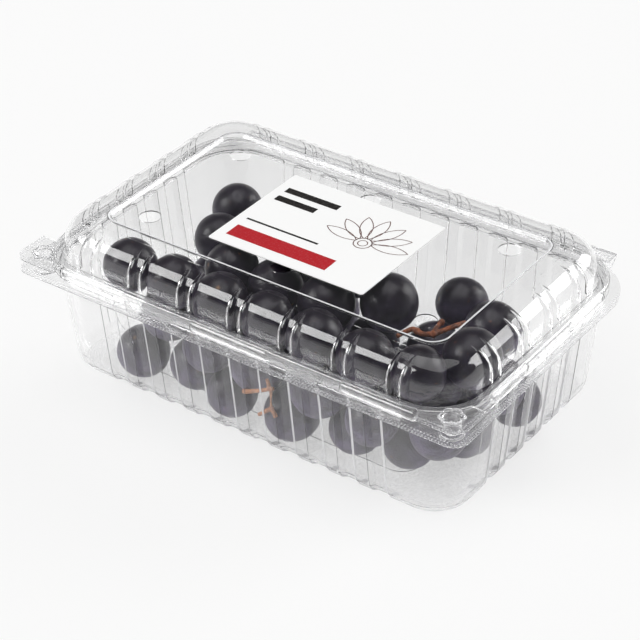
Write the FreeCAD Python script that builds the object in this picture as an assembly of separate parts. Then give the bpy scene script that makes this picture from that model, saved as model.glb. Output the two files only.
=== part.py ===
import FreeCAD, Part
import math
import os

# A clear plastic clamshell pack for fruit, closed, with black grapes in it.
# X runs along the pack, +Y points at the hinge and Z is up. The origin is at
# the middle of the face that the tray rests on. Lengths are in millimetres.

# Sheet and rim outline
SHEET = 0.45
RIM_LENGTH = 195.0
RIM_WIDTH = 126.2
CORNER_RADIUS = 26.0
PLATE_RADIUS = 6.0
NEST_GAP = 0.45

# Tray: each inset is measured from the rim outline
RIM_HEIGHT = 46.0
BOTTOM_RADIUS = 9.0
BOTTOM_STEPS = 4
WALL_FOOT_INSET = 9.6
WALL_TOP_INSET = 6.0
FLUTE_DEPTH = 1.6
FLUTE_WIDTH = 4.2
FLUTE_END = 9.0
LONG_FLUTE_PITCH = 13.0
SHORT_FLUTE_PITCH = 12.4
FLOOR_STEP = 1.8
FLOOR_STEP_INSET_X = 37.0
FLOOR_STEP_INSET_Y = 26.1
FLOOR_STEP_RADIUS = 8.0
BEAD_INSET = 4.9
BEAD_WIDTH = 3.4
BEAD_HEIGHT = 4.6
BEAD_ROUNDING = 1.2

# Lid
DOME_INSET = 8.7
DOME_RISE = 13.1
SHOULDER_RADIUS = 9.5
PANEL_INSET = 24.7
PANEL_DEPTH = 1.6
PANEL_SLOPE = 1.4
PANEL_RADIUS = 6.0
VENT_DIAMETER = 8.4
VENT_EDGE_X = 12.2
VENT_EDGE_Y = 11.1
SKIRT_DROP = 4.6
LIP_WIDTH = 0.8
RIB_WIDTH = 4.4
RIB_PROUD = 1.7
RIB_TOP_DROP = 0.05
RIB_PAIR_GAP = 5.3
RIB_END = 3.0
LONG_RIB_PITCH = 22.4
SHORT_RIB_PITCH = 19.5
BULGE_REACH = 1.1
BULGE_DROP = 3.6
MIDDLE_BULGE_LENGTH = 35.0
OUTER_BULGE_LENGTH = 31.0
OUTER_BULGE_INSET = 35.0
SIDE_BULGE_LENGTH = 24.0
SIDE_BULGE_INSET = 37.1
TAB_LENGTH = 13.0
TAB_REACH = 2.4

# Corner plates, their snap studs and the hinge
PLATE_LENGTH = 18.5
PLATE_WIDTH = 17.0
STUD_INSET = 8.2
STUD_DIAMETER = 6.6
STUD_ROUNDING = 1.4
STUD_CLEARANCE = 0.5
DISH_DIAMETER = 8.0
DISH_DEPTH = 1.2
HINGE_END_INSET = 13.5
HINGE_REACH = 2.2
HINGE_HEIGHT = 2.9
HINGE_GAP = 0.3
HINGE_FOLD = 1.6

# Label on the lid's panel
LABEL_LENGTH = 68.0
LABEL_WIDTH = 53.4
LABEL_THICKNESS = 0.2

# Grapes: spots are (x, y) from the middle of a pack of the size drawn, in the order
# they are dropped, and spread with the rim. The top layer hangs on its stems just
# below the lid.
SPOTS_DRAWN_LENGTH = 195.0
SPOTS_DRAWN_WIDTH = 126.2
GRAPE_RADIUS = 10.2
GRAPE_SPREAD = 0.5
GRAPE_GAP = 0.3
GRAPE_VARIATION = 2.4
TOP_LAYER_GAP = 1.2
GRAPE_ROLL = 4.0
ROLL_STEP = 0.5
ROLL_DIRECTIONS = 12
ROLL_LEAST_DROP = 0.01
HOLDING_PASSES = 6
HELD_TOLERANCE = 0.1
SEARCH_RINGS = 20
LOWER_GRAPES = [
    (-55, -37), (-34, -36), (-15, -43), (16, -39), (37, -35), (56, -31),
    (67, -13), (-45, -19), (-24, -17), (0, -23), (25, -19), (46, -13),
    (-54, 0), (-33, 2), (-12, 0), (11, -3), (33, 2), (55, 7), (76, 7),
]
MIDDLE_GRAPES = [
    (-44, -38), (-24, -42), (2, -42), (26, -42), (48, -40), (68, -35),
    (-34, -22), (-10, -22), (14, -23), (37, -22), (57, -14), (-47, -8),
    (-24, 0), (2, -5), (24, -4), (44, 3), (77, -6), (46, 14), (65, 5),
]
UPPER_GRAPES = [
    (-57.6, -43), (-37.2, -43), (-16.2, -43), (4.7, -43), (46.5, -43),
    (25.3, -43), (67, -41), (76.5, -22.2), (-26, -24), (-5, -25), (16, -23),
    (-42, -13), (-31.5, 5), (-9, -4), (13, -2), (34, -10), (-48.8, 9.5),
]

# Stems: the twig's branches are (x, z) just inside the front wall, and the stalk is
# (x, y, depth below the panel)
TWIG_DIAMETER = 1.6
TWIG_INSET = 12.3
TWIG_BRANCHES = [
    [(-0.5, 22.5), (3, 24), (11.5, 28.5), (9.8, 32)],
    [(11.5, 28.5), (11.2, 21), (11.4, 19.8), (6, 15)],
    [(11.4, 19.8), (13, 16.8)],
]
STALK_DIAMETER = 2.2
STALK_ROUTE = [
    (49, -36, 9), (53.6, -25.3, 7), (59, -26.5, 7), (62, -24.3, 7), (63.8, -20, 7),
    (65.4, -16, 7), (67, -6, 9),
]

HALF_LENGTH = RIM_LENGTH / 2
HALF_WIDTH = RIM_WIDTH / 2
STRAIGHT_X = RIM_LENGTH - 2 * CORNER_RADIUS
STRAIGHT_Y = RIM_WIDTH - 2 * CORNER_RADIUS
FLOOR_STEP_LENGTH = RIM_LENGTH - 2 * FLOOR_STEP_INSET_X
FLOOR_STEP_WIDTH = RIM_WIDTH - 2 * FLOOR_STEP_INSET_Y
VENT_X = HALF_LENGTH - PANEL_INSET - VENT_EDGE_X
VENT_Y = HALF_WIDTH - PANEL_INSET - VENT_EDGE_Y
OUTER_BULGE_CENTRE = HALF_LENGTH - OUTER_BULGE_INSET
SIDE_BULGE_CENTRE = HALF_WIDTH - SIDE_BULGE_INSET
TAB_CENTRE = (MIDDLE_BULGE_LENGTH / 2 + OUTER_BULGE_CENTRE - OUTER_BULGE_LENGTH / 2) / 2
HINGE_LENGTH = RIM_LENGTH - 2 * HINGE_END_INSET
WALL_TOP = RIM_HEIGHT - SHEET
BEAD_TOP = RIM_HEIGHT + BEAD_HEIGHT
LEDGE_UNDERSIDE = BEAD_TOP + NEST_GAP
LEDGE_TOP = LEDGE_UNDERSIDE + SHEET
DOME_TOP = LEDGE_TOP + DOME_RISE
PANEL_TOP = DOME_TOP - PANEL_DEPTH
SKIRT_INSET = BEAD_INSET - NEST_GAP - SHEET
SKIRT_BOTTOM = LEDGE_TOP - SKIRT_DROP
HINGE_Y = HALF_WIDTH + HINGE_REACH
HINGE_Z = RIM_HEIGHT + HINGE_HEIGHT
OVERLAP = 0.2
TOUCH = 1e-4


def vec(x, y, z=0.0):
    return FreeCAD.Vector(x, y, z)


def rounded_face(half_x, half_y, z, front_radius, rear_radius):
    """A flat rectangle at height z with its own radius on front and rear corners."""
    corners = [
        (1, -1, front_radius, -90),
        (1, 1, rear_radius, 0),
        (-1, 1, rear_radius, 90),
        (-1, -1, front_radius, 180),
    ]
    arcs = []
    for side_x, side_y, radius, start in corners:
        centre = vec(side_x * (half_x - radius), side_y * (half_y - radius), z)
        circle = Part.Circle(centre, vec(0, 0, 1), radius)
        arcs.append(Part.Arc(circle, math.radians(start), math.radians(start + 90)).toShape())
    edges = []
    for index, arc in enumerate(arcs):
        following = arcs[(index + 1) % 4]
        edges.append(arc)
        edges.append(Part.LineSegment(arc.Vertexes[1].Point, following.Vertexes[0].Point).toShape())
    return Part.Face(Part.Wire(edges))


def loop_block(inset, low, high):
    """A solid block inside the loop that lies inset from the rim outline."""
    radius = CORNER_RADIUS - inset
    face = rounded_face(HALF_LENGTH - inset, HALF_WIDTH - inset, low, radius, radius)
    return face.extrude(vec(0, 0, high - low))


def loop_ring(outer, inner, low, high):
    """The band between two loops, given by their insets."""
    return loop_block(outer, low, high).cut(loop_block(inner, low - 1, high + 1))


def fillet_top(solid, radius):
    """Round every edge of the solid's highest face."""
    top = solid.BoundBox.ZMax
    edges = [edge for edge in solid.Edges if edge.BoundBox.ZMin > top - TOUCH]
    return solid.makeFillet(radius, edges)


def box(x0, x1, y0, y1, z0, z1):
    return Part.makeBox(x1 - x0, y1 - y0, z1 - z0, vec(x0, y0, z0))


def rounded_disc(radius, rounding, height):
    """A disc standing on z = 0 with its lower edge rounded."""
    disc = Part.makeCylinder(radius, height)
    edges = [edge for edge in disc.Edges if edge.BoundBox.ZMax < TOUCH]
    return disc.makeFillet(rounding, edges)


def turned(solid, quarter_turns):
    """A copy turned about Z by quarter turns."""
    copy = solid.copy()
    copy.rotate(vec(0, 0, 0), vec(0, 0, 1), 90 * quarter_turns)
    return copy


def row(length, end, pitch):
    """Positions of a centred row of as many as the length holds between its ends."""
    count = int((length - 2 * end) / pitch) + 1
    return [(index - (count - 1) / 2) * pitch for index in range(count)]


def flute_side(length, pitch, depth, skin):
    """Points of one fluted side as (along, inward)."""
    half = length / 2
    crest = FLUTE_WIDTH / 2 + skin * math.tan(math.pi / 8)
    points = [(-half, 0)]
    for centre in row(length, FLUTE_END, pitch):
        points.append((centre - crest - FLUTE_DEPTH, 0))
        points.append((centre - crest, depth))
        points.append((centre + crest, depth))
        points.append((centre + crest + FLUTE_DEPTH, 0))
    points.append((half, 0))
    return points


def fluted_wire(inset, z, depth, skin):
    """The tray's outline at one height, with flutes and smooth corners."""
    half_x = HALF_LENGTH - inset
    half_y = HALF_WIDTH - inset
    radius = CORNER_RADIUS - inset
    long_side = flute_side(STRAIGHT_X, LONG_FLUTE_PITCH, depth, skin)
    short_side = flute_side(STRAIGHT_Y, SHORT_FLUTE_PITCH, depth, skin)
    sides = [(long_side, half_y), (short_side, half_x), (long_side, half_y), (short_side, half_x)]
    edges = []
    for turn, (side, reach) in enumerate(sides):
        angle = math.radians(90 * turn)
        spots = []
        for along, inward in side:
            across = inward - reach
            spots.append(vec(along * math.cos(angle) - across * math.sin(angle),
                             along * math.sin(angle) + across * math.cos(angle), z))
        for first, second in zip(spots, spots[1:]):
            edges.append(Part.LineSegment(first, second).toShape())
        centre_x = (half_x - radius) * (1 if turn in (0, 1) else -1)
        centre_y = (half_y - radius) * (1 if turn in (1, 2) else -1)
        circle = Part.Circle(vec(centre_x, centre_y, z), vec(0, 0, 1), radius)
        start = angle - math.pi / 2
        edges.append(Part.Arc(circle, start, start + math.pi / 2).toShape())
    return Part.Wire(edges)


def fluted_body(skin, top):
    """The tray's filled shape; skin is how far it lies inside the outer face."""
    inner_radius = BOTTOM_RADIUS - skin
    wires = []
    for step in range(BOTTOM_STEPS + 1):
        lift = math.pi / 2 * step / BOTTOM_STEPS
        inset = WALL_FOOT_INSET + BOTTOM_RADIUS - inner_radius * math.sin(lift)
        z = BOTTOM_RADIUS - inner_radius * math.cos(lift)
        wires.append(fluted_wire(inset, z, FLUTE_DEPTH * math.sin(lift), skin))
    rise = (top - BOTTOM_RADIUS) / (RIM_HEIGHT - BOTTOM_RADIUS)
    inset = WALL_FOOT_INSET + (WALL_TOP_INSET - WALL_FOOT_INSET) * rise + skin
    wires.append(fluted_wire(inset, top, FLUTE_DEPTH, skin))
    return Part.makeLoft(wires, True, True)


def floor_step(skin, low, high):
    """The raised middle of the floor, grown by the skin."""
    half_x = FLOOR_STEP_LENGTH / 2 + skin
    half_y = FLOOR_STEP_WIDTH / 2 + skin
    radius = FLOOR_STEP_RADIUS + skin
    return rounded_face(half_x, half_y, low, radius, radius).extrude(vec(0, 0, high - low))


def rim_plate(low, high):
    """The full rim outline, with pointed front corners and round rear ones."""
    face = rounded_face(HALF_LENGTH, HALF_WIDTH, low, PLATE_RADIUS, CORNER_RADIUS)
    return face.extrude(vec(0, 0, high - low))


def stud_spots():
    return [(side * (HALF_LENGTH - STUD_INSET), STUD_INSET - HALF_WIDTH) for side in (-1, 1)]


def hinge_strip(points):
    """A strip along the hinge from its (y, z) outline."""
    corners = [vec(-HINGE_LENGTH / 2, y, z) for y, z in points]
    face = Part.Face(Part.makePolygon(corners + corners[:1]))
    return face.extrude(vec(HINGE_LENGTH, 0, 0))


def make_tray():
    shell = fluted_body(0, RIM_HEIGHT)
    hollow = fluted_body(SHEET, WALL_TOP)
    shell = shell.cut(floor_step(0, -1, FLOOR_STEP))
    hollow = hollow.cut(floor_step(SHEET, 0, FLOOR_STEP + SHEET))
    mouth_inset = BEAD_INSET + BEAD_WIDTH
    shell = shell.cut(hollow).cut(loop_block(mouth_inset, WALL_TOP - OVERLAP, RIM_HEIGHT + 1))
    bead = fillet_top(loop_ring(BEAD_INSET, mouth_inset, WALL_TOP, BEAD_TOP), BEAD_ROUNDING)
    groove = fillet_top(loop_ring(BEAD_INSET + SHEET, mouth_inset - SHEET, WALL_TOP, BEAD_TOP - SHEET),
                        BEAD_ROUNDING - SHEET)
    flange = rim_plate(WALL_TOP, RIM_HEIGHT)
    flange = flange.cut(loop_block(BEAD_INSET + SHEET, WALL_TOP - 1, RIM_HEIGHT + 1))
    for x, y in stud_spots():
        dish = Part.makeCylinder(DISH_DIAMETER / 2 + SHEET, DISH_DEPTH,
                                 vec(x, y, RIM_HEIGHT - DISH_DEPTH - SHEET))
        well = Part.makeCylinder(DISH_DIAMETER / 2, DISH_DEPTH + SHEET,
                                 vec(x, y, RIM_HEIGHT - DISH_DEPTH))
        flange = flange.fuse(dish).cut(well)
    strip = hinge_strip([
        (HALF_WIDTH - BEAD_INSET / 2, WALL_TOP),
        (HALF_WIDTH - HINGE_FOLD, WALL_TOP),
        (HINGE_Y - HINGE_GAP, HINGE_Z - HINGE_GAP / 2 - SHEET),
        (HINGE_Y - HINGE_GAP, HINGE_Z - HINGE_GAP / 2),
        (HALF_WIDTH - HINGE_FOLD, RIM_HEIGHT),
        (HALF_WIDTH - BEAD_INSET / 2, RIM_HEIGHT),
    ])
    return shell.fuse([bead.cut(groove), flange, strip]).removeSplitter()


def rib_section(reach, along, z, skin):
    """A rib's rounded section, flat at height z, the skin inside its outer face."""
    radius = (RIB_WIDTH ** 2 / 4 + RIB_PROUD ** 2) / (2 * RIB_PROUD)
    centre_out = RIB_PROUD - radius
    foot = math.sqrt((radius - skin) ** 2 - (skin + centre_out) ** 2)
    left, right = vec(along - foot, skin - reach, z), vec(along + foot, skin - reach, z)
    buried = vec(0, OVERLAP)
    crest = vec(along, skin - reach - RIB_PROUD, z)
    return Part.Face(Part.Wire([
        Part.Arc(left, crest, right).toShape(),
        Part.LineSegment(right, right + buried).toShape(),
        Part.LineSegment(right + buried, left + buried).toShape(),
        Part.LineSegment(left + buried, left).toShape(),
    ]))


def rib(reach, along, skin):
    """One rib on the front side of a dome whose wall is reach from the middle."""
    low = LEDGE_TOP - OVERLAP - skin
    centre_z = DOME_TOP - SHOULDER_RADIUS - RIB_PROUD - RIB_TOP_DROP
    face = rib_section(reach, along, centre_z, skin)
    post = face.extrude(vec(0, 0, low - centre_z))
    bend = face.revolve(vec(0, SHOULDER_RADIUS - reach, centre_z), vec(-1, 0, 0), 90)
    return [post, bend]


def ribs(skin):
    solids = []
    rows = [
        (HALF_WIDTH - DOME_INSET, row(STRAIGHT_X, RIB_END, LONG_RIB_PITCH), (0, 2)),
        (HALF_LENGTH - DOME_INSET, row(STRAIGHT_Y, RIB_END, SHORT_RIB_PITCH), (1, 3)),
    ]
    for reach, centres, turns in rows:
        for centre in centres:
            for side in (-1, 1):
                pieces = rib(reach, centre + side * RIB_PAIR_GAP / 2, skin)
                solids += [turned(piece, turn) for turn in turns for piece in pieces]
    return solids


def bulge(reach, centre, length, skin):
    """A rounded swelling of the skirt on the front side, tapered at both ends."""
    outer = reach + BULGE_REACH - skin
    low = LEDGE_TOP - BULGE_DROP
    high = LEDGE_TOP - skin
    radius = BULGE_REACH + BEAD_ROUNDING
    half = length / 2 - skin
    block = box(centre - half, centre + half, -outer, -reach + radius, low - skin, high)
    front_top = [edge for edge in block.Edges
                 if abs(edge.BoundBox.ZMin - high) < TOUCH and abs(edge.BoundBox.YMax + outer) < TOUCH]
    block = block.makeFillet(radius, front_top)
    ends = [edge for edge in block.Edges if edge.BoundBox.YMax < -outer + TOUCH
            and edge.BoundBox.XLength < TOUCH]
    return block.makeFillet(BULGE_REACH, ends)


def bulges(skin):
    reach_y = HALF_WIDTH - SKIRT_INSET
    reach_x = HALF_LENGTH - SKIRT_INSET
    solids = [bulge(reach_y, 0, MIDDLE_BULGE_LENGTH, skin)]
    for side in (-1, 1):
        solids.append(bulge(reach_y, side * OUTER_BULGE_CENTRE, OUTER_BULGE_LENGTH, skin))
        for turn in (1, 3):
            piece = bulge(reach_x, side * SIDE_BULGE_CENTRE, SIDE_BULGE_LENGTH, skin)
            solids.append(turned(piece, turn))
    return solids


def panel_recess(skin):
    """The space above the panel, with sloped sides, grown by the skin."""
    low = PANEL_TOP - skin
    height = PANEL_DEPTH + skin + OVERLAP
    foot = skin * math.tan(math.atan2(PANEL_DEPTH, PANEL_SLOPE) / 2)
    loops = []
    for rise in (0, height):
        growth = foot + rise * PANEL_SLOPE / PANEL_DEPTH
        inset = PANEL_INSET - growth
        face = rounded_face(HALF_LENGTH - inset, HALF_WIDTH - inset, low + rise,
                            PANEL_RADIUS + growth, PANEL_RADIUS + growth)
        loops.append(face.OuterWire)
    return Part.makeLoft(loops, True, True)


def lid_body(skin):
    """The lid's filled shape; skin is how far it lies inside the outer face."""
    base = loop_block(SKIRT_INSET + skin, SKIRT_BOTTOM - skin, LEDGE_TOP - skin)
    base = fillet_top(base, BEAD_ROUNDING - skin)
    dome = loop_block(DOME_INSET + skin, LEDGE_TOP - skin - OVERLAP, DOME_TOP - skin)
    dome = fillet_top(dome, SHOULDER_RADIUS - skin)
    body = base.fuse(bulges(skin)).fuse(dome).fuse(ribs(skin))
    return body.cut(panel_recess(skin))


def stud(x, y, skin):
    """A snap stud's cup, which points down into the dish below it."""
    low = RIM_HEIGHT - DISH_DEPTH + STUD_CLEARANCE + skin
    base = rounded_disc(STUD_DIAMETER / 2 - skin, STUD_ROUNDING - skin, LEDGE_TOP + skin - low)
    base.translate(vec(x, y, low))
    return base


def make_lid():
    lid = lid_body(0).cut(lid_body(SHEET))
    lip = loop_ring(SKIRT_INSET - LIP_WIDTH, SKIRT_INSET + SHEET, SKIRT_BOTTOM, SKIRT_BOTTOM + SHEET)
    lip = lip.cut(box(-HALF_LENGTH, HALF_LENGTH, HALF_WIDTH / 2, HALF_WIDTH, 0, LEDGE_TOP))
    additions = [lip]
    front = -HALF_WIDTH + SKIRT_INSET + SHEET
    for side in (-1, 1):
        centre = side * TAB_CENTRE
        additions.append(box(centre - TAB_LENGTH / 2, centre + TAB_LENGTH / 2,
                             front - SHEET - TAB_REACH, front, SKIRT_BOTTOM, SKIRT_BOTTOM + SHEET))
    plate = rim_plate(LEDGE_UNDERSIDE, LEDGE_TOP)
    plate = plate.cut(loop_block(SKIRT_INSET + SHEET, LEDGE_UNDERSIDE - 1, LEDGE_TOP + 1))
    corners = [
        box(min(side * (HALF_LENGTH - PLATE_LENGTH), side * HALF_LENGTH),
            max(side * (HALF_LENGTH - PLATE_LENGTH), side * HALF_LENGTH),
            -HALF_WIDTH, PLATE_WIDTH - HALF_WIDTH, LEDGE_UNDERSIDE, LEDGE_TOP)
        for side in (-1, 1)
    ]
    additions.append(plate.common(corners[0].fuse(corners[1])))
    additions += [stud(x, y, 0) for x, y in stud_spots()]
    strip_top = HINGE_Z + HINGE_GAP / 2 + SHEET
    additions.append(hinge_strip([
        (HALF_WIDTH - SKIRT_INSET - SHEET, HINGE_Z + HINGE_GAP / 2),
        (HINGE_Y - HINGE_GAP, HINGE_Z + HINGE_GAP / 2),
        (HINGE_Y - HINGE_GAP, strip_top),
        (HALF_WIDTH - SKIRT_INSET - SHEET, strip_top),
    ]))
    lid = lid.fuse(additions)
    openings = [stud(x, y, SHEET) for x, y in stud_spots()]
    for x in (-VENT_X, 0, VENT_X):
        for y in (-VENT_Y, VENT_Y):
            openings.append(Part.makeCylinder(VENT_DIAMETER / 2, DOME_RISE, vec(x, y, LEDGE_TOP)))
    rear_skirt_top = HINGE_Z + HINGE_GAP / 2
    openings.append(box(-HINGE_LENGTH / 2, HINGE_LENGTH / 2, HALF_WIDTH / 2, HALF_WIDTH,
                        0, rear_skirt_top))
    return lid.cut(openings).removeSplitter()


def make_label():
    return box(-LABEL_LENGTH / 2, LABEL_LENGTH / 2, -LABEL_WIDTH / 2, LABEL_WIDTH / 2,
               PANEL_TOP, PANEL_TOP + LABEL_THICKNESS)


def held_in(x, y, z, radius):
    """The nearest spot at which a grape clears the tray's walls and the lid."""
    rise = (z - BOTTOM_RADIUS) / (RIM_HEIGHT - BOTTOM_RADIUS)
    wall_inset = WALL_FOOT_INSET + (WALL_TOP_INSET - WALL_FOOT_INSET) * rise + FLUTE_DEPTH
    inset = max(wall_inset, DOME_INSET) + SHEET + GRAPE_GAP + radius
    corner = max(CORNER_RADIUS - inset, 0)
    core_x = HALF_LENGTH - inset - corner
    core_y = HALF_WIDTH - inset - corner
    base_x = max(-core_x, min(core_x, x))
    base_y = max(-core_y, min(core_y, y))
    beyond = math.hypot(x - base_x, y - base_y)
    if beyond <= corner:
        return x, y
    return base_x + (x - base_x) * corner / beyond, base_y + (y - base_y) * corner / beyond


def resting_height(x, y, radius, least, placed):
    """Height at which a grape dropped here lands on the floor or on the others, or
    where its stem holds it, if that is higher."""
    reach = radius + GRAPE_GAP
    past_step = max(abs(x) - FLOOR_STEP_LENGTH / 2, abs(y) - FLOOR_STEP_WIDTH / 2, 0)
    on_step = FLOOR_STEP + math.sqrt(max(reach ** 2 - past_step ** 2, 0))
    z = max(SHEET + max(reach, on_step), least)
    for other_x, other_y, other_z, other_radius in placed:
        reach = radius + other_radius + GRAPE_GAP
        apart = math.hypot(x - other_x, y - other_y)
        if apart < reach:
            z = max(z, other_z + math.sqrt(reach ** 2 - apart ** 2))
    return z


def rolled(start_x, start_y, radius, least, placed):
    """Where a grape dropped at the start comes to rest after rolling downhill."""
    x, y, z = start_x, start_y, RIM_HEIGHT
    for _ in range(HOLDING_PASSES):
        x, y = held_in(x, y, z, radius)
        z = resting_height(x, y, radius, least, placed)
    rolling = True
    while rolling:
        rolling = False
        for direction in range(ROLL_DIRECTIONS):
            turn = 2 * math.pi * direction / ROLL_DIRECTIONS
            next_x = x + ROLL_STEP * math.cos(turn)
            next_y = y + ROLL_STEP * math.sin(turn)
            next_z = resting_height(next_x, next_y, radius, least, placed)
            near = math.hypot(next_x - start_x, next_y - start_y) < GRAPE_ROLL
            clear = held_in(next_x, next_y, next_z, radius) == (next_x, next_y)
            if near and clear and next_z < z - ROLL_LEAST_DROP:
                x, y, z = next_x, next_y, next_z
                rolling = True
                break
    return x, y, z


def nearest_room(start_x, start_y, radius, least, placed):
    """The resting place nearest to the start that has room under the lid."""
    for ring in range(SEARCH_RINGS):
        for direction in range(ROLL_DIRECTIONS if ring else 1):
            turn = 2 * math.pi * direction / ROLL_DIRECTIONS
            from_x = start_x + ring * GRAPE_ROLL * math.cos(turn)
            from_y = start_y + ring * GRAPE_ROLL * math.sin(turn)
            x, y, z = rolled(from_x, from_y, radius, 0 if ring else least, placed)
            held = math.dist(held_in(x, y, z, radius), (x, y)) < HELD_TOLERANCE
            if held and z + radius < PANEL_TOP - SHEET - GRAPE_GAP:
                return [(x, y, z, radius)]
    return []


def on_this_pack(x, y):
    """A spot of the pack as drawn, moved with the rim."""
    return x * RIM_LENGTH / SPOTS_DRAWN_LENGTH, y * RIM_WIDTH / SPOTS_DRAWN_WIDTH


def grape_centres():
    """Drop the grapes in order, each as near to its spot as there is room."""
    placed = []
    under_layers = LOWER_GRAPES + MIDDLE_GRAPES
    for index, spot in enumerate(under_layers + UPPER_GRAPES):
        radius = GRAPE_RADIUS + GRAPE_SPREAD * math.sin(GRAPE_VARIATION * index)
        hung = PANEL_TOP - SHEET - TOP_LAYER_GAP - radius
        least = 0 if index < len(under_layers) else hung
        placed += nearest_room(*on_this_pack(*spot), radius, least, placed)
    return placed


def make_stem(routes, diameter, grapes):
    """A round stem along each route, cut clear of the grapes."""
    radius = diameter / 2
    pieces = []
    for route in routes:
        for first, second in zip(route, route[1:]):
            start, run = vec(*first), vec(*second) - vec(*first)
            pieces.append(Part.makeCylinder(radius, run.Length, start, run))
        pieces += [Part.makeSphere(radius, vec(*spot)) for spot in route]
    stem = pieces[0].fuse(pieces[1:])
    stem = stem.cut([Part.makeSphere(size + GRAPE_GAP, vec(x, y, z)) for x, y, z, size in grapes])
    return max(stem.Solids, key=lambda solid: solid.Volume)


def make_twig(grapes):
    depth = TWIG_INSET - HALF_WIDTH
    routes = [[(on_this_pack(x, 0)[0], depth, z) for x, z in branch] for branch in TWIG_BRANCHES]
    return make_stem(routes, TWIG_DIAMETER, grapes)


def make_stalk(grapes):
    route = [(*on_this_pack(x, y), PANEL_TOP - depth) for x, y, depth in STALK_ROUTE]
    return make_stem([route], STALK_DIAMETER, grapes)


def main():
    os.makedirs("parts", exist_ok=True)
    grapes = grape_centres()
    solids = {
        "tray": make_tray(),
        "lid": make_lid(),
        "label": make_label(),
        "twig": make_twig(grapes),
        "stalk": make_stalk(grapes),
    }
    for number, (x, y, z, radius) in enumerate(grapes, 1):
        solids[f"grape_{number:02d}"] = Part.makeSphere(radius, vec(x, y, z))
    for name, solid in solids.items():
        solid.exportStep(f"parts/{name}.step")
        print(name, len(solid.Solids), round(solid.Volume, 1), solid.isValid())


main()
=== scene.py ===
import math

import bmesh
import bpy
from mathutils import Matrix, Vector, noise


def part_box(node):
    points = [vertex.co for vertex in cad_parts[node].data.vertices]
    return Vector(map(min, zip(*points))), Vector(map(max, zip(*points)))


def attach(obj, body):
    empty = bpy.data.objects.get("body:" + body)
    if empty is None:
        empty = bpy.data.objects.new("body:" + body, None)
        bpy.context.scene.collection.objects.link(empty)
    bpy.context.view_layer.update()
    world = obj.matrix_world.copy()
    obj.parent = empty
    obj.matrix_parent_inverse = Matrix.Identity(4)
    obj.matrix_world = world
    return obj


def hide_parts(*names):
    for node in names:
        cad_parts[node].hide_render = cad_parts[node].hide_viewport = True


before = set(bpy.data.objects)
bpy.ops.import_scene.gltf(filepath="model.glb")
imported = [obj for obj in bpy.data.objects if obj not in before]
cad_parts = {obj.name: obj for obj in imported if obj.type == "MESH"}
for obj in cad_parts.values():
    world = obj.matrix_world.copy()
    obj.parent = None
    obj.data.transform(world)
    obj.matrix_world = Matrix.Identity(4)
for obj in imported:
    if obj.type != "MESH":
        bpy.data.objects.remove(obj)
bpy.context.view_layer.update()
MM = 0.001


# The camera stands in front of the pack's right-hand corner and looks down on the lid.
# Its place and turn give the photograph's view with an uncropped picture.
CAMERA_PLACE = Vector((375.89, -513.64, 458.67)) * MM
CAMERA_AZIMUTH = math.radians(36.492)
CAMERA_ELEVATION = math.radians(34.284)
CAMERA_ROLL = math.radians(-1.308)
SENSOR_WIDTH = 36.0
FOCAL_PIXELS = 2066.3
PICTURE_PIXELS = 640

across = Vector((math.cos(CAMERA_AZIMUTH), math.sin(CAMERA_AZIMUTH), 0))
ahead = Vector((
    -math.sin(CAMERA_AZIMUTH) * math.cos(CAMERA_ELEVATION),
    math.cos(CAMERA_AZIMUTH) * math.cos(CAMERA_ELEVATION),
    -math.sin(CAMERA_ELEVATION),
))
upward = across.cross(ahead)
camera_right = across * math.cos(CAMERA_ROLL) + upward * math.sin(CAMERA_ROLL)
camera_up = upward * math.cos(CAMERA_ROLL) - across * math.sin(CAMERA_ROLL)
camera_data = bpy.data.cameras.new("camera")
camera_data.sensor_width = SENSOR_WIDTH
camera_data.lens = FOCAL_PIXELS / PICTURE_PIXELS * SENSOR_WIDTH
camera_data.clip_start = 0.01
camera_data.clip_end = 20
camera = bpy.data.objects.new("camera", camera_data)
camera.matrix_world = (
    Matrix.Translation(CAMERA_PLACE)
    @ Matrix((camera_right, camera_up, -ahead)).transposed().to_4x4()
)
bpy.context.scene.collection.objects.link(camera)
bpy.context.scene.camera = camera
bpy.context.scene.view_settings.view_transform = "Standard"


# The studio: a pale matt table with a pale backdrop low behind it, in an unlit room. The
# clear plastic mirrors the table, the backdrop, two softboxes and the dark of the room.
FLOOR_COLOR = "#F6F6F5"
FLOOR_GLOW = 0.75
FLOOR_SIZE = 12.0
BACKDROP_COLOR = "#FBFBFB"
ROOM_COLOR = "#8C8F94"
ROOM_STRENGTH = 0.12
BACKDROP_EDGE = (0.08, 0.16)
BACKDROP_SIDE = (0.0, 0.3)


def linear(color):
    """Turns a hex colour into the linear one that a shader takes."""
    channels = [int(color[index:index + 2], 16) / 255 for index in (1, 3, 5)]
    return [c / 12.92 if c <= 0.04045 else ((c + 0.055) / 1.055) ** 2.4 for c in channels] + [1]


def node(tree, kind, inputs=None, **settings):
    """Adds a node with its settings, and its inputs as values or as other nodes' outputs."""
    made = tree.nodes.new(kind)
    for name, value in settings.items():
        setattr(made, name, value)
    for socket, value in (inputs or {}).items():
        if isinstance(value, bpy.types.NodeSocket):
            tree.links.new(value, made.inputs[socket])
        else:
            made.inputs[socket].default_value = value
    return made


def new_material(name):
    """A material with an empty node tree."""
    made = bpy.data.materials.new(name)
    made.use_nodes = True
    made.node_tree.nodes.clear()
    return made


def add_piece(name, mesh):
    """An object at the origin that shows this bmesh."""
    data = bpy.data.meshes.new(name)
    mesh.to_mesh(data)
    mesh.free()
    made = bpy.data.objects.new(name, data)
    bpy.context.scene.collection.objects.link(made)
    return made


# The eye looks through many faces of clear sheet, so a ray may turn often before it ends.
cycles = bpy.context.scene.cycles
cycles.max_bounces = 32
cycles.transmission_bounces = 32
cycles.glossy_bounces = 12
cycles.transparent_max_bounces = 48

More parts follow.
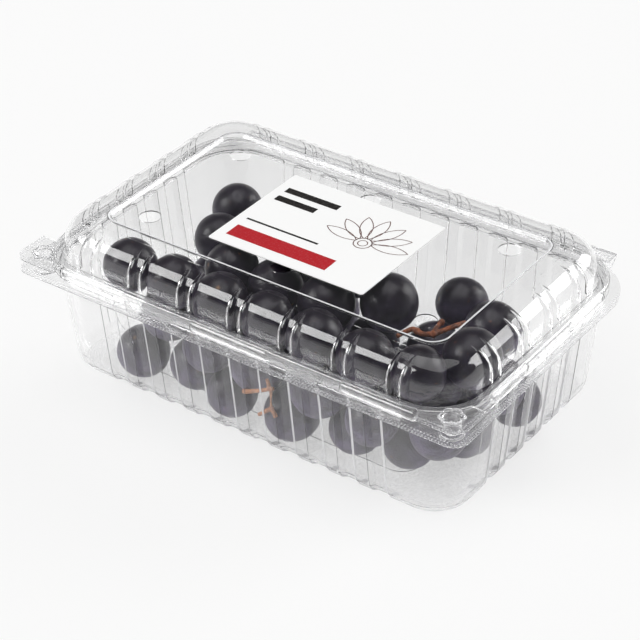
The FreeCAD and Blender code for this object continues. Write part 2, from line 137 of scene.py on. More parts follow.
# Matt paint: no sheen. Its white shows to the eye and in the plastic, and a soft shadow
# stays on it.
floor_paint = new_material("matt_floor_paint")
tree = floor_paint.node_tree
surface = node(tree, "ShaderNodeBsdfPrincipled", {
    "Base Color": linear(FLOOR_COLOR), "Roughness": 0.9, "Specular IOR Level": 0.1})
white = node(tree, "ShaderNodeEmission", {"Color": linear(BACKDROP_COLOR), "Strength": 1.0})
path = node(tree, "ShaderNodeLightPath")
through = node(tree, "ShaderNodeMath", {
    0: path.outputs["Is Glossy Ray"], 1: path.outputs["Is Transmission Ray"]},
    operation="MAXIMUM")
looked_at = node(tree, "ShaderNodeMath", {
    0: path.outputs["Is Camera Ray"], 1: through.outputs[0]}, operation="MAXIMUM")
glow = node(tree, "ShaderNodeMath", {
    0: looked_at.outputs[0], 1: FLOOR_GLOW}, operation="MULTIPLY")
mixed = node(tree, "ShaderNodeMixShader", {
    0: glow.outputs[0], 1: surface.outputs[0], 2: white.outputs[0]})
node(tree, "ShaderNodeOutputMaterial", {"Surface": mixed.outputs[0]})
floor_mesh = bmesh.new()
bmesh.ops.create_grid(floor_mesh, x_segments=1, y_segments=1, size=FLOOR_SIZE / 2)
floor = add_piece("floor", floor_mesh)
floor.data.materials.append(floor_paint)

# The backdrop ends where a direction's height is between the two values of BACKDROP_EDGE.
# The plastic mirrors only the part of it that stands behind the pack.
world = bpy.data.worlds.new("room")
world.use_nodes = True
bpy.context.scene.world = world
tree = world.node_tree
tree.nodes.clear()
room = node(tree, "ShaderNodeBackground", {
    "Color": linear(ROOM_COLOR), "Strength": ROOM_STRENGTH})
backdrop = node(tree, "ShaderNodeBackground", {
    "Color": linear(BACKDROP_COLOR), "Strength": 1.0})
path = node(tree, "ShaderNodeLightPath")
facing = node(tree, "ShaderNodeTexCoord")
direction = node(tree, "ShaderNodeSeparateXYZ", {"Vector": facing.outputs["Generated"]})
low_down = node(tree, "ShaderNodeMapRange", {
    "Value": direction.outputs["Z"], "From Min": BACKDROP_EDGE[0],
    "From Max": BACKDROP_EDGE[1], "To Min": 1.0, "To Max": 0.0})
behind = node(tree, "ShaderNodeMapRange", {
    "Value": direction.outputs["Y"], "From Min": BACKDROP_SIDE[0],
    "From Max": BACKDROP_SIDE[1]})
extent = node(tree, "ShaderNodeMath", {
    0: low_down.outputs[0], 1: behind.outputs[0]}, operation="MULTIPLY")
mirrored = node(tree, "ShaderNodeMath", {
    0: path.outputs["Is Glossy Ray"], 1: extent.outputs[0]}, operation="MULTIPLY")
transmitted = node(tree, "ShaderNodeMath", {
    0: path.outputs["Is Transmission Ray"], 1: low_down.outputs[0]}, operation="MULTIPLY")
plastic_sees = node(tree, "ShaderNodeMath", {
    0: mirrored.outputs[0], 1: transmitted.outputs[0]}, operation="MAXIMUM")
seen = node(tree, "ShaderNodeMath", {
    0: path.outputs["Is Camera Ray"], 1: plastic_sees.outputs[0]}, operation="MAXIMUM")
mixed = node(tree, "ShaderNodeMixShader", {
    0: seen.outputs[0], 1: room.outputs[0], 2: backdrop.outputs[0]})
node(tree, "ShaderNodeOutputWorld", {"Surface": mixed.outputs[0]})

# Softboxes: one at the front left, one behind on the right, and a wide one overhead that
# the plastic doesn't mirror, because the room above the table shows dark in it.
LOOK_AT = Vector((0, 0, 0.03))
SOFTBOXES = [
    ("softbox_front", (-2.15, -2.07, 2.01), (1.92, 1.62), 60.0, True),
    ("softbox_rear", (1.77, 2.83, 1.35), (1.92, 1.98), 64.0, True),
    ("overhead", (0.0, 0.0, 4.0), (4.0, 4.0), 125.0, False),
]
for name, place, size, power, shows in SOFTBOXES:
    lamp = bpy.data.lights.new(name, "AREA")
    lamp.shape = "RECTANGLE"
    lamp.size, lamp.size_y = size
    lamp.energy = power
    made = bpy.data.objects.new(name, lamp)
    made.location = place
    made.rotation_euler = (LOOK_AT - Vector(place)).to_track_quat("-Z", "Y").to_euler()
    made.visible_camera = False
    made.visible_glossy = shows
    bpy.context.scene.collection.objects.link(made)


# Tray and lid: one sheet of clear PET, drawn down hot into a mould and cut out with its rim.
# It is glossy on both faces, with sharp reflections, and a pressed hatching stiffens the
# edges of its flanges.
PET_IOR = 1.5
PET_ROUGHNESS = 0.02
PET_CLEAR = "#FDFDFD"
PET_CLOUDING_AND_HIGHLIGHT = "#F4F4F6"
RIPPLE_SIZE = 22.2
RIPPLE_SHARE = 0.25
PRESSED_DEPTH = 0.2
HATCH_PITCH = 1.3
HATCH_BAND = 2.8
HATCH_BASE = 44.0
HATCH_SHARE = 0.3
GRAIN_SIZE = 0.9
GRAIN_TOP = 2.4
GRAIN_SHARE = 0.22
FLUTE_PITCH_X = 13.0
FLUTE_PITCH_Y = 12.4
FLUTE_SIDE = (1.9, 4.0)
FLUTE_SPAN_X = 63.0
FLUTE_SPAN_Y = 30.0
FLUTE_TOP = 42.0
FRONT_WALL = 45.0
END_WALL = 80.0
FLUTE_HIGHLIGHT_SHARE = 0.55
HAZE = {"tray": 0.03, "lid": 0.004}
rim_low, rim_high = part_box("tray")

pet = new_material("clear_formed_pet")
tree = pet.node_tree
place = node(tree, "ShaderNodeTexCoord")
spot = node(tree, "ShaderNodeSeparateXYZ", {"Vector": place.outputs["Object"]})

# A slow ripple over the whole sheet, where it cooled unevenly.
ripple = node(tree, "ShaderNodeTexNoise", {
    "Vector": place.outputs["Object"], "Scale": 1 / (RIPPLE_SIZE * MM), "Detail": 1.0})
slow = node(tree, "ShaderNodeMath", {
    0: ripple.outputs["Fac"], 1: RIPPLE_SHARE}, operation="MULTIPLY")

# The hatching: small diamonds along the edges of both flanges, drawn a little coarse to show.
edges = []
for axis, edge in (("Y", -rim_low.y), ("X", rim_high.x)):
    distance = node(tree, "ShaderNodeMath", {0: spot.outputs[axis]}, operation="ABSOLUTE")
    edges.append(node(tree, "ShaderNodeMath", {
        0: distance.outputs[0], 1: edge - HATCH_BAND * MM}, operation="GREATER_THAN"))
band = node(tree, "ShaderNodeMath", {
    0: edges[0].outputs[0], 1: edges[1].outputs[0]}, operation="MAXIMUM")
waves = []
for operation in ("ADD", "SUBTRACT"):
    slant = node(tree, "ShaderNodeMath", {
        0: spot.outputs["X"], 1: spot.outputs["Y"]}, operation=operation)
    phase = node(tree, "ShaderNodeMath", {
        0: slant.outputs[0], 1: math.pi / (HATCH_PITCH * MM)}, operation="MULTIPLY")
    waves.append(node(tree, "ShaderNodeMath", {0: phase.outputs[0]}, operation="SINE"))
diamonds = node(tree, "ShaderNodeMath", {
    0: waves[0].outputs[0], 1: waves[1].outputs[0]}, operation="MULTIPLY")
on_rim = node(tree, "ShaderNodeMath", {
    0: spot.outputs["Z"], 1: HATCH_BASE * MM}, operation="GREATER_THAN")
rim_band = node(tree, "ShaderNodeMath", {
    0: band.outputs[0], 1: on_rim.outputs[0]}, operation="MULTIPLY")
hatched = node(tree, "ShaderNodeMath", {
    0: diamonds.outputs[0], 1: rim_band.outputs[0]}, operation="MULTIPLY")

# The steep side of each flute of the front and the right-hand end carries a painted highlight,
# a fine upright pale line where the crease catches the light. FLUTE_SIDE is where it lies
# from the flute's middle.
# The front has no flute on its own middle, so its row is shifted by half a pitch.
highlight_lines = []
for axis, pitch, shift, span, facing, side, wall_place in (
        ("X", FLUTE_PITCH_X, 0.5, FLUTE_SPAN_X, "Y", "LESS_THAN", -FRONT_WALL),
        ("Y", -FLUTE_PITCH_Y, 0.0, FLUTE_SPAN_Y, "X", "GREATER_THAN", END_WALL)):
    turns = node(tree, "ShaderNodeMath", {
        0: spot.outputs[axis], 1: 1 / (pitch * MM), 2: shift}, operation="MULTIPLY_ADD")
    along = node(tree, "ShaderNodeMath", {0: turns.outputs[0]}, operation="FRACT")
    line = node(tree, "ShaderNodeMath", {
        0: along.outputs[0], 1: sum(FLUTE_SIDE) / 2 / abs(pitch),
        2: (FLUTE_SIDE[1] - FLUTE_SIDE[0]) / 2 / abs(pitch)}, operation="COMPARE")
    distance = node(tree, "ShaderNodeMath", {0: spot.outputs[axis]}, operation="ABSOLUTE")
    fluted = node(tree, "ShaderNodeMath", {
        0: distance.outputs[0], 1: span * MM}, operation="LESS_THAN")
    wall = node(tree, "ShaderNodeMath", {
        0: spot.outputs[facing], 1: wall_place * MM}, operation=side)
    marked = node(tree, "ShaderNodeMath", {
        0: line.outputs[0], 1: fluted.outputs[0]}, operation="MULTIPLY")
    highlight_lines.append(node(tree, "ShaderNodeMath", {
        0: marked.outputs[0], 1: wall.outputs[0]}, operation="MULTIPLY"))
either = node(tree, "ShaderNodeMath", {
    0: highlight_lines[0].outputs[0], 1: highlight_lines[1].outputs[0]}, operation="MAXIMUM")
below_rim = node(tree, "ShaderNodeMath", {
    0: spot.outputs["Z"], 1: FLUTE_TOP * MM}, operation="LESS_THAN")
flute_highlights = node(tree, "ShaderNodeMath", {
    0: either.outputs[0], 1: below_rim.outputs[0]}, operation="MULTIPLY")

# The grain of the tray's floor, which keeps the fruit from sticking to it.
pebbles = node(tree, "ShaderNodeTexNoise", {
    "Vector": place.outputs["Object"], "Scale": 1 / (GRAIN_SIZE * MM), "Detail": 1.0})
near_floor = node(tree, "ShaderNodeMath", {
    0: spot.outputs["Z"], 1: GRAIN_TOP * MM}, operation="LESS_THAN")
grain = node(tree, "ShaderNodeMath", {
    0: pebbles.outputs["Fac"], 1: near_floor.outputs[0]}, operation="MULTIPLY")

raised = node(tree, "ShaderNodeMath", {
    0: slow.outputs[0], 1: hatched.outputs[0]}, operation="ADD")
height = node(tree, "ShaderNodeMath", {
    0: raised.outputs[0], 1: grain.outputs[0]}, operation="ADD")
bump = node(tree, "ShaderNodeBump", {
    "Strength": 0.25, "Distance": PRESSED_DEPTH * MM, "Height": height.outputs[0]})
sheet = node(tree, "ShaderNodeBsdfPrincipled", {
    "Base Color": linear("#FFFFFF"), "Roughness": PET_ROUGHNESS, "IOR": PET_IOR,
    "Transmission Weight": 1.0, "Normal": bump.outputs[0]})
clouding_and_highlight = node(tree, "ShaderNodeBsdfDiffuse", {"Color": linear(PET_CLOUDING_AND_HIGHLIGHT), "Roughness": 0.0})
speckle = node(tree, "ShaderNodeMath", {
    0: grain.outputs[0], 1: GRAIN_SHARE}, operation="MULTIPLY")
# The flute lines are a painted highlight, and the grain is the floor's own pebbling.
grain_and_highlights = node(tree, "ShaderNodeMath", {
    0: flute_highlights.outputs[0], 1: FLUTE_HIGHLIGHT_SHARE, 2: speckle.outputs[0]}, operation="MULTIPLY_ADD")
whitened = node(tree, "ShaderNodeMath", {
    0: hatched.outputs[0], 1: HATCH_SHARE, 2: grain_and_highlights.outputs[0]}, operation="MULTIPLY_ADD")

# Each copy of this material adds a haze of its own here, over the hatching, the grain and the
# painted flute highlights. Lamps shine straight through the sheet, because its bent light would
# be too noisy.
haze = node(tree, "ShaderNodeMath", {
    0: whitened.outputs[0], 1: 0.0}, operation="ADD", use_clamp=True)
haze.name = "haze"
hazy = node(tree, "ShaderNodeMixShader", {
    0: haze.outputs[0], 1: sheet.outputs[0], 2: clouding_and_highlight.outputs[0]})
clear = node(tree, "ShaderNodeBsdfTransparent", {"Color": linear(PET_CLEAR)})
path = node(tree, "ShaderNodeLightPath")
unbent = node(tree, "ShaderNodeMath", {
    0: path.outputs["Is Shadow Ray"], 1: path.outputs["Is Diffuse Ray"]}, operation="MAXIMUM")
mixed = node(tree, "ShaderNodeMixShader", {
    0: unbent.outputs[0], 1: hazy.outputs[0], 2: clear.outputs[0]})
node(tree, "ShaderNodeOutputMaterial", {"Surface": mixed.outputs[0]})

# The tray is dulled by the fruit's damp and bloom, and the lid is almost free of it.
for name, share in HAZE.items():
    finish = pet.copy()
    finish.name = "clear_formed_pet_" + name
    finish.node_tree.nodes["haze"].inputs[1].default_value = share
    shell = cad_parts[name]
    shell.data.materials.clear()
    shell.data.materials.append(finish)


# Panel bead: the fold of the lid's sheet round the recessed panel, where it is thickest. The
# tight bend is slightly clouded, so that it shows as a fine pale line.
BEAD_INSET = 23.5
BEAD_WIDTH = 0.6
BEAD_HEIGHT = 0.3
BEAD_CORNER = 7.2
BEAD_EDGE = 0.12
BEAD_FOLD = 1.2
BEAD_HAZE = 0.5
panel_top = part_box("lid")[1].z
bead_mesh = bmesh.new()
bmesh.ops.create_grid(bead_mesh, x_segments=1, y_segments=1, size=1.0, matrix=(
    Matrix.Translation(Vector((0, 0, panel_top)))
    @ Matrix.Diagonal((rim_high.x - BEAD_INSET * MM, -rim_low.y - BEAD_INSET * MM, 1, 1))))
bmesh.ops.bevel(bead_mesh, geom=bead_mesh.verts[:], offset=BEAD_CORNER * MM, segments=12,
                profile=0.5, affect="VERTICES", material=-1)
ring = bmesh.ops.inset_individual(
    bead_mesh, faces=bead_mesh.faces[:], thickness=BEAD_WIDTH * MM)
middle = [face for face in bead_mesh.faces if face not in ring["faces"]]
bmesh.ops.delete(bead_mesh, geom=middle, context="FACES_ONLY")
bmesh.ops.solidify(bead_mesh, geom=bead_mesh.faces[:], thickness=BEAD_HEIGHT * MM)
bmesh.ops.recalc_face_normals(bead_mesh, faces=bead_mesh.faces)
sharp = [edge for edge in bead_mesh.edges if edge.calc_face_angle(0) > BEAD_FOLD]
bmesh.ops.bevel(bead_mesh, geom=sharp, offset=BEAD_EDGE * MM, segments=2, profile=0.5,
                affect="EDGES", material=-1)
for face in bead_mesh.faces:
    face.smooth = True
bead = add_piece("panel_bead", bead_mesh)
bead_pet = pet.copy()
bead_pet.name = "clear_formed_pet_bead"
bead_pet.node_tree.nodes["haze"].inputs[1].default_value = BEAD_HAZE
bead.data.materials.append(bead_pet)
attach(bead, "lid_with_label")


# Stud collars: the scalloped skirt pressed round each front snap stud of the lid, in the same
# sheet. Its lobes stiffen the plate where the stud snaps into the dish below.
STUD_INSET = 8.2
COLLAR_RADIUS = 4.0
COLLAR_LOBES = 6
LOBE_DEPTH = 0.9
LOBE_ROUNDING = 0.6
COLLAR_RISE = 0.9
COLLAR_TAPER = 0.84
COLLAR_WALL = 0.35
COLLAR_BASE = 51.5
COLLAR_HAZE = 0.2
collar_pet = pet.copy()
collar_pet.name = "clear_formed_pet_collar"
collar_pet.node_tree.nodes["haze"].inputs[1].default_value = COLLAR_HAZE
for side in (-1, 1):
    stud = Vector((side * (rim_high.x - STUD_INSET * MM), rim_low.y + STUD_INSET * MM, 0))
    collar = bmesh.new()
    bmesh.ops.create_circle(collar, segments=72, radius=COLLAR_RADIUS * MM, matrix=(
        Matrix.Translation(Vector((0, 0, COLLAR_BASE * MM)))))
    raised_edge = bmesh.ops.extrude_edge_only(collar, edges=collar.edges[:])
    upper = [item for item in raised_edge["geom"] if isinstance(item, bmesh.types.BMVert)]
    bmesh.ops.translate(collar, verts=upper, vec=(0, 0, COLLAR_RISE * MM))
    bmesh.ops.scale(collar, verts=upper, vec=(COLLAR_TAPER, COLLAR_TAPER, 1))
    for vert in collar.verts:
        turn = math.atan2(vert.co.y, vert.co.x)
        bulge = abs(math.sin(COLLAR_LOBES / 2 * turn)) ** LOBE_ROUNDING
        lobe = 1 + LOBE_DEPTH / COLLAR_RADIUS * bulge
        vert.co.x *= lobe
        vert.co.y *= lobe
    bmesh.ops.recalc_face_normals(collar, faces=collar.faces)
    bmesh.ops.solidify(collar, geom=collar.faces[:], thickness=COLLAR_WALL * MM)
    bmesh.ops.translate(collar, verts=collar.verts, vec=stud)
    for face in collar.faces:
        face.smooth = True
    ring = add_piece("stud_collar_" + ("left" if side < 0 else "right"), collar)
    ring.data.materials.append(collar_pet)
    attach(ring, "lid_with_label")


# Label: a sticker of white coated paper, laid flat on the lid's panel between the vents.
# It is printed with plain shapes in black, brown and red.
LABEL_CORNER = 1.0
PRINT_LIFT = 0.03
LEAF_POINT = 0.35
PAPER_COLOR = "#FBFBFA"
FIBRE_SIZE = 1.1
INKS = {"black_ink": "#23201F", "brown_ink": "#6A4A44", "red_ink": "#B5232B"}
BLACK, BROWN, RED = 1, 2, 3
INK_GRAIN = 0.667
BARS = [
    ((-8, -17.5), (44, 7.5), RED),
    ((-18, 16), (24, 3.4), BLACK),
    ((-21, 9.5), (18, 3.4), BLACK),
    ((-14, -8.5), (32, 1.0), BLACK),
]
FLOWER_PLACE = (15, 1)
FLOWER_RINGS = [((7.2, 7.2), 0.4), ((4.0, 4.0), 0.35)]
PETALS = 7
PETAL_TURN = 27
PETAL_REACH = 10.5
PETAL_SIZE = (15, 5.2)
PETAL_LINE = 0.35
low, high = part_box("label")


def printed(mesh, shape, center, size, turn, ink, line=0.0):
    """Prints a filled or outlined shape on the label, its sizes in millimetres."""
    spot = (
        Matrix.Translation(Vector((center[0] * MM, center[1] * MM, high.z + PRINT_LIFT * MM)))
        @ Matrix.Rotation(math.radians(turn), 4, "Z")
        @ Matrix.Diagonal((size[0] / 2 * MM, size[1] / 2 * MM, 1, 1))
    )
    corners = {"bar": 4, "disc": 40, "leaf": 28}[shape]
    turned = Matrix.Rotation(math.radians(45), 4, "Z") if shape == "bar" else Matrix.Identity(4)
    radius = math.sqrt(2) if shape == "bar" else 1.0
    made = bmesh.ops.create_circle(mesh, cap_ends=True, segments=corners, radius=radius,
                                   matrix=spot @ turned)
    verts = made["verts"]
    if shape == "leaf":
        back = spot.inverted()
        for vert in verts:
            flat = back @ vert.co
            flat.y *= max(0.0, 1 - flat.x ** 2) ** LEAF_POINT
            vert.co = spot @ flat
    face = verts[0].link_faces[0]
    if line:
        ring = bmesh.ops.inset_individual(mesh, faces=[face], thickness=line * MM)
        bmesh.ops.delete(mesh, geom=[face], context="FACES_ONLY")
        faces = ring["faces"]
    else:
        faces = [face]
    for part in faces:
        part.material_index = ink


sticker_mesh = bmesh.new()
bmesh.ops.create_cube(sticker_mesh, size=1.0, matrix=(
    Matrix.Translation((low + high) / 2) @ Matrix.Diagonal((*(high - low), 1))))
upright = [edge for edge in sticker_mesh.edges
           if abs(edge.verts[0].co.z - edge.verts[1].co.z) > (high - low).z / 2]
bmesh.ops.bevel(sticker_mesh, geom=upright, offset=LABEL_CORNER * MM, segments=4, profile=0.5,
                affect="EDGES", material=-1)
for center, size, ink in BARS:
    printed(sticker_mesh, "bar", center, size, 0, ink)
for index in range(PETALS):
    turn = 90 + (index - PETALS // 2) * PETAL_TURN
    spot = (FLOWER_PLACE[0] + PETAL_REACH * math.cos(math.radians(turn)),
            FLOWER_PLACE[1] + PETAL_REACH * math.sin(math.radians(turn)))
    printed(sticker_mesh, "leaf", spot, PETAL_SIZE, turn, BROWN, line=PETAL_LINE)
for size, line in FLOWER_RINGS:
    printed(sticker_mesh, "disc", FLOWER_PLACE, size, 0, BROWN, line=line)
sticker = add_piece("sticker", sticker_mesh)

# Coated paper: smooth, with a soft sheen. Its fibre is drawn coarse, so that it shows at all.
paper = new_material("white_coated_paper")
tree = paper.node_tree
place = node(tree, "ShaderNodeTexCoord")
fibre = node(tree, "ShaderNodeTexNoise", {
    "Vector": place.outputs["Object"], "Scale": 1 / (FIBRE_SIZE * MM), "Detail": 2.0})
bump = node(tree, "ShaderNodeBump", {
    "Strength": 0.05, "Distance": 0.2 * MM, "Height": fibre.outputs["Fac"]})
surface = node(tree, "ShaderNodeBsdfPrincipled", {
    "Base Color": linear(PAPER_COLOR), "Roughness": 0.45, "Normal": bump.outputs[0]})
node(tree, "ShaderNodeOutputMaterial", {"Surface": surface.outputs[0]})
sticker.data.materials.append(paper)

# Printing ink: satin, and a little broken where it missed the paper.
for name, color in INKS.items():
    ink = new_material(name)
    tree = ink.node_tree
    place = node(tree, "ShaderNodeTexCoord")
    grain = node(tree, "ShaderNodeTexNoise", {
        "Vector": place.outputs["Object"], "Scale": 1 / (INK_GRAIN * MM), "Detail": 2.0})
    faded = node(tree, "ShaderNodeMapRange", {
        "Value": grain.outputs["Fac"], "From Min": 0.5, "From Max": 1.0, "To Max": 0.12})
    tone = node(tree, "ShaderNodeMix", {
        "Factor": faded.outputs[0], "A": linear(color), "B": linear(PAPER_COLOR)},
        data_type="RGBA")
    surface = node(tree, "ShaderNodeBsdfPrincipled", {
        "Base Color": tone.outputs["Result"], "Roughness": 0.4})
    node(tree, "ShaderNodeOutputMaterial", {"Surface": surface.outputs[0]})
    sticker.data.materials.append(ink)
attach(sticker, "lid_with_label")
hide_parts("label")


# Grapes: ripe black table grapes off the bunch. The near-black skin is satin under a pale
# waxy bloom, which has rubbed away in patches, and each has a small scar where its stem was.
SKIN_COLOR = "#120C14"
SKIN_IOR = 1.42
SKIN_GLOSS = (0.3, 0.6)
BLOOM_COLOR = "#857A9A"
BLOOM_COVER = (0.18, 0.75)
BLOOM_PATCH = 6.25
BLOOM_THINS_FROM = 38.0
BLOOM_THINS_TO = 50.0
RUSSET_COLOR = "#7A4C34"
FLECK_SIZE = 2.38
DIMPLE_SIZE = 3.33
DIMPLE_DEPTH = 0.2
GRAPE_LONG = 1.01
GRAPE_SLIM = 0.985
WOBBLE = 0.012
WOBBLE_SCALE = 1.3
WOBBLE_STEP = 7.3
SCAR_COLOR = "#7A5A3A"
SCAR_RADIUS = 1.5
SCAR_DEPTH = 0.05
TURN_STEP = 1.9
TILT_FIRST = 0.5
TILT_STEP = 0.7
TILTS = 5

skin = new_material("black_grape_skin")
tree = skin.node_tree
place = node(tree, "ShaderNodeTexCoord")
patches = node(tree, "ShaderNodeTexNoise", {
    "Vector": place.outputs["Object"], "Scale": 1 / (BLOOM_PATCH * MM), "Detail": 6.0,
    "Roughness": 0.68})
dusted = node(tree, "ShaderNodeMapRange", {
    "Value": patches.outputs["Fac"], "From Min": 0.38, "From Max": 0.68,
    "To Min": BLOOM_COVER[0], "To Max": BLOOM_COVER[1]})

# The bloom is painted whole on the sides and thin on the tops, so that the sides show paler as
# painted light and the tops darker as painted shade. It also thins on the upper layer, darker
# towards the top of the heap.
shape = node(tree, "ShaderNodeNewGeometry")
upward_part = node(tree, "ShaderNodeSeparateXYZ", {"Vector": shape.outputs["Normal"]})
painted_light_and_shade = node(tree, "ShaderNodeMapRange", {
    "Value": upward_part.outputs["Z"], "From Min": -0.1, "From Max": 0.7,
    "To Min": 1.0, "To Max": 0.16})
level = node(tree, "ShaderNodeSeparateXYZ", {"Vector": place.outputs["Object"]})
thinner_up_heap = node(tree, "ShaderNodeMapRange", {
    "Value": level.outputs["Z"], "From Min": BLOOM_THINS_FROM * MM, "From Max": BLOOM_THINS_TO * MM,
    "To Min": 1.0, "To Max": 0.3})
# The share of bloom that stays after the painted light and shade and the thinning up the heap.
left = node(tree, "ShaderNodeMath", {
    0: painted_light_and_shade.outputs[0], 1: thinner_up_heap.outputs[0]}, operation="MULTIPLY")
bloom_light_and_shade = node(tree, "ShaderNodeMath", {
    0: dusted.outputs[0], 1: left.outputs[0]}, operation="MULTIPLY")
tone = node(tree, "ShaderNodeMix", {
    "Factor": bloom_light_and_shade.outputs[0], "A": linear(SKIN_COLOR), "B": linear(BLOOM_COLOR)},
    data_type="RGBA")

# Corky brown flecks lie over the bloom, and the scar over both.
flecks = node(tree, "ShaderNodeTexNoise", {
    "Vector": place.outputs["Object"], "Scale": 1 / (FLECK_SIZE * MM), "Detail": 3.0,
    "Roughness": 0.7})
russet = node(tree, "ShaderNodeMapRange", {
    "Value": flecks.outputs["Fac"], "From Min": 0.66, "From Max": 0.76, "To Max": 0.7})
flecked = node(tree, "ShaderNodeMix", {
    "Factor": russet.outputs[0], "A": tone.outputs["Result"], "B": linear(RUSSET_COLOR)},
    data_type="RGBA")
scar = node(tree, "ShaderNodeAttribute", attribute_name="scar")
scarred = node(tree, "ShaderNodeMix", {
    "Factor": scar.outputs["Fac"], "A": flecked.outputs["Result"], "B": linear(SCAR_COLOR)},
    data_type="RGBA")
gloss = node(tree, "ShaderNodeMapRange", {
    "Value": bloom_light_and_shade.outputs[0], "From Max": BLOOM_COVER[1],
    "To Min": SKIN_GLOSS[0], "To Max": SKIN_GLOSS[1]})
dimple = node(tree, "ShaderNodeTexNoise", {
    "Vector": place.outputs["Object"], "Scale": 1 / (DIMPLE_SIZE * MM), "Detail": 2.0})
bump = node(tree, "ShaderNodeBump", {
    "Strength": 0.06, "Distance": DIMPLE_DEPTH * MM, "Height": dimple.outputs["Fac"]})
surface = node(tree, "ShaderNodeBsdfPrincipled", {
    "Base Color": scarred.outputs["Result"], "Roughness": gloss.outputs[0], "IOR": SKIN_IOR,
    "Normal": bump.outputs[0]})
node(tree, "ShaderNodeOutputMaterial", {"Surface": surface.outputs[0]})

# Each grape is turned its own way, so that no two show the same side.
grape_nodes = sorted(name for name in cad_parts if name.startswith("grape_"))
for index, name in enumerate(grape_nodes):
    low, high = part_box(name)
    center, radius = (low + high) / 2, (high.z - low.z) / 2
    tilt = TILT_FIRST + TILT_STEP * (index % TILTS)
    turn = Matrix.Rotation(TURN_STEP * index, 4, "Z") @ Matrix.Rotation(tilt, 4, "X")
    berry = bmesh.new()
    bmesh.ops.create_icosphere(berry, subdivisions=4, radius=radius)
    marks = berry.verts.layers.float.new("scar")
    for vert in berry.verts:
        upright = vert.co.normalized()
        wobble = noise.noise(upright * WOBBLE_SCALE + Vector((index * WOBBLE_STEP, 0, 0)))
        from_pole = math.acos(max(-1, min(1, upright.z))) * radius / MM
        dent = SCAR_DEPTH * math.exp(-(from_pole / SCAR_RADIUS) ** 2)
        vert.co = vert.co * (1 + WOBBLE * wobble - dent)
        vert.co.x *= GRAPE_SLIM
        vert.co.y *= GRAPE_SLIM
        vert.co.z *= GRAPE_LONG
        vert[marks] = max(0.0, 1 - from_pole / (0.6 * SCAR_RADIUS))
    bmesh.ops.transform(berry, matrix=Matrix.Translation(center) @ turn, verts=berry.verts)
    for face in berry.faces:
        face.smooth = True
    made = add_piece("berry" + name[len("grape"):], berry)
    made.data.materials.append(skin)
    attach(made, "tray_with_fruit")
    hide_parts(name)


# Stems: the thin woody twig of a broken bunch at the front, and a stalk that shows through
# the lid by the front vent. They are reddish brown, and swollen where side stems branched off.
TWIG_FRONT = -50.8
TWIG_BRANCHES = [
    [(-0.5, 22.5, 1.0), (1.2, 23.1, 0.75), (3, 24, 0.85), (7.5, 26.2, 0.6),
     (11.5, 28.5, 0.85), (9.8, 32, 0.6)],
    [(11.5, 28.5, 0.8), (11.3, 25, 0.35), (11.2, 21, 0.35), (11.4, 19.8, 0.85),
     (8.6, 17.5, 0.75), (6, 15, 0.6)],
    [(11.4, 19.8, 0.8), (12.3, 18.2, 0.65), (13, 16.8, 0.75)],
]
STALK_PATH = [
    (51.5, -31, 54.9, 0.8), (53.6, -25.3, 56, 0.9), (56.3, -25.9, 56, 1.05),
    (59, -26.5, 56, 0.85), (62, -24.3, 56, 1.1), (63.8, -20, 56, 0.8),
    (65.4, -16, 56, 1.05), (66.2, -11, 55, 0.75),
]
STALK_SPUR = [(62, -24.3, 56, 0.95), (61.2, -21.5, 57.3, 0.7), (61.5, -18.6, 57.6, 0.95)]
TWIG_KNOTS = [(-0.5, 22.5, 1.0), (11.5, 28.4, 1.0), (11.4, 19.7, 1.0), (6, 15.1, 0.75)]
STALK_KNOTS = [(62, -24.3, 56, 1.35), (61.5, -18.6, 57.5, 1.2), (56.3, -25.9, 56, 1.2)]
KNOT_WRINKLE = 0.9
KNOT_SWELL = 0.22
STEM_FINISH = {"twig": ("#C98A5C", "#8A5235"), "stalk": ("#8A4C2C", "#3A1E14")}
BARK_STREAK = 1.6
BARK_DEPTH = 0.3


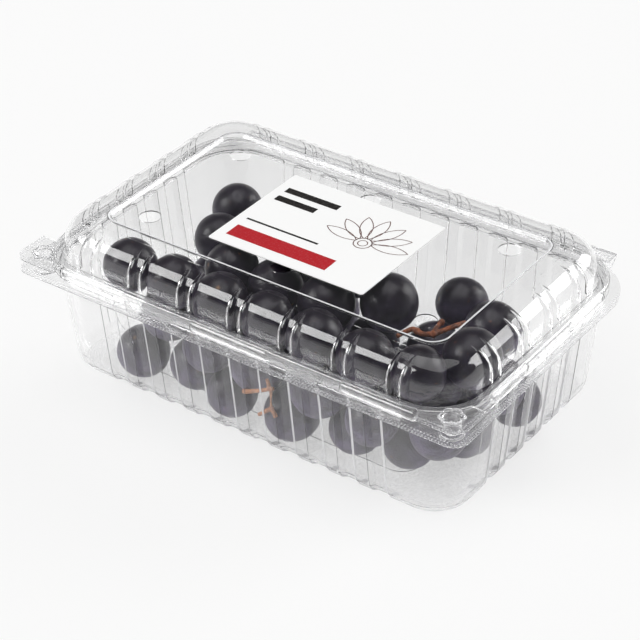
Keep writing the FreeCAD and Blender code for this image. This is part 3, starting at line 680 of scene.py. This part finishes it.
def woody_stem(name, routes, knots):
    """Round stems along smooth routes of (x, y, z, radius) in millimetres, with knots."""
    drawn = bpy.data.curves.new(name, "CURVE")
    drawn.dimensions = "3D"
    drawn.bevel_depth = MM
    drawn.bevel_resolution = 4
    drawn.use_fill_caps = True
    for route in routes:
        spline = drawn.splines.new("NURBS")
        spline.points.add(len(route) - 1)
        for point, (x, y, z, radius) in zip(spline.points, route):
            point.co = (x * MM, y * MM, z * MM, 1)
            point.radius = radius
        spline.order_u = 3
        spline.use_endpoint_u = True
        spline.resolution_u = 8
    holder = bpy.data.objects.new(name + "_line", drawn)
    bpy.context.scene.collection.objects.link(holder)
    tube = bpy.data.meshes.new_from_object(holder)
    bpy.data.objects.remove(holder)
    stems = bmesh.new()
    stems.from_mesh(tube)
    for x, y, z, radius in knots:
        knot = bmesh.ops.create_icosphere(stems, subdivisions=3, radius=radius * MM,
                                          matrix=Matrix.Translation(Vector((x, y, z)) * MM))
        for vert in knot["verts"]:
            swell = KNOT_SWELL * noise.noise(vert.co / (KNOT_WRINKLE * MM))
            vert.co += (vert.co - Vector((x, y, z)) * MM) * swell
    for face in stems.faces:
        face.smooth = True
    bmesh.ops.recalc_face_normals(stems, faces=stems.faces)
    return add_piece(name, stems)


twig_routes = [[(x, TWIG_FRONT, z, radius) for x, z, radius in branch]
               for branch in TWIG_BRANCHES]
twig_knots = [(x, TWIG_FRONT, z, radius) for x, z, radius in TWIG_KNOTS]
woody_stems = {
    "twig": woody_stem("grape_twig", twig_routes, twig_knots),
    "stalk": woody_stem("grape_stalk", [STALK_PATH, STALK_SPUR], STALK_KNOTS),
}

# Dried stem: matt and fibrous, paler where it is still fresh.
for name, stem in woody_stems.items():
    fresh, dried = STEM_FINISH[name]
    bark = new_material("dry_grape_" + name)
    tree = bark.node_tree
    place = node(tree, "ShaderNodeTexCoord")
    streaks = node(tree, "ShaderNodeTexNoise", {
        "Vector": place.outputs["Object"], "Scale": 1 / (BARK_STREAK * MM), "Detail": 4.0})
    spread = node(tree, "ShaderNodeMapRange", {
        "Value": streaks.outputs["Fac"], "From Min": 0.35, "From Max": 0.7})
    tone = node(tree, "ShaderNodeMix", {
        "Factor": spread.outputs[0], "A": linear(fresh), "B": linear(dried)}, data_type="RGBA")
    bump = node(tree, "ShaderNodeBump", {
        "Strength": 0.4, "Distance": BARK_DEPTH * MM, "Height": streaks.outputs["Fac"]})
    surface = node(tree, "ShaderNodeBsdfPrincipled", {
        "Base Color": tone.outputs["Result"], "Roughness": 0.6, "Normal": bump.outputs[0]})
    node(tree, "ShaderNodeOutputMaterial", {"Surface": surface.outputs[0]})
    stem.data.materials.append(bark)
    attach(stem, "tray_with_fruit")
    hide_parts(name)
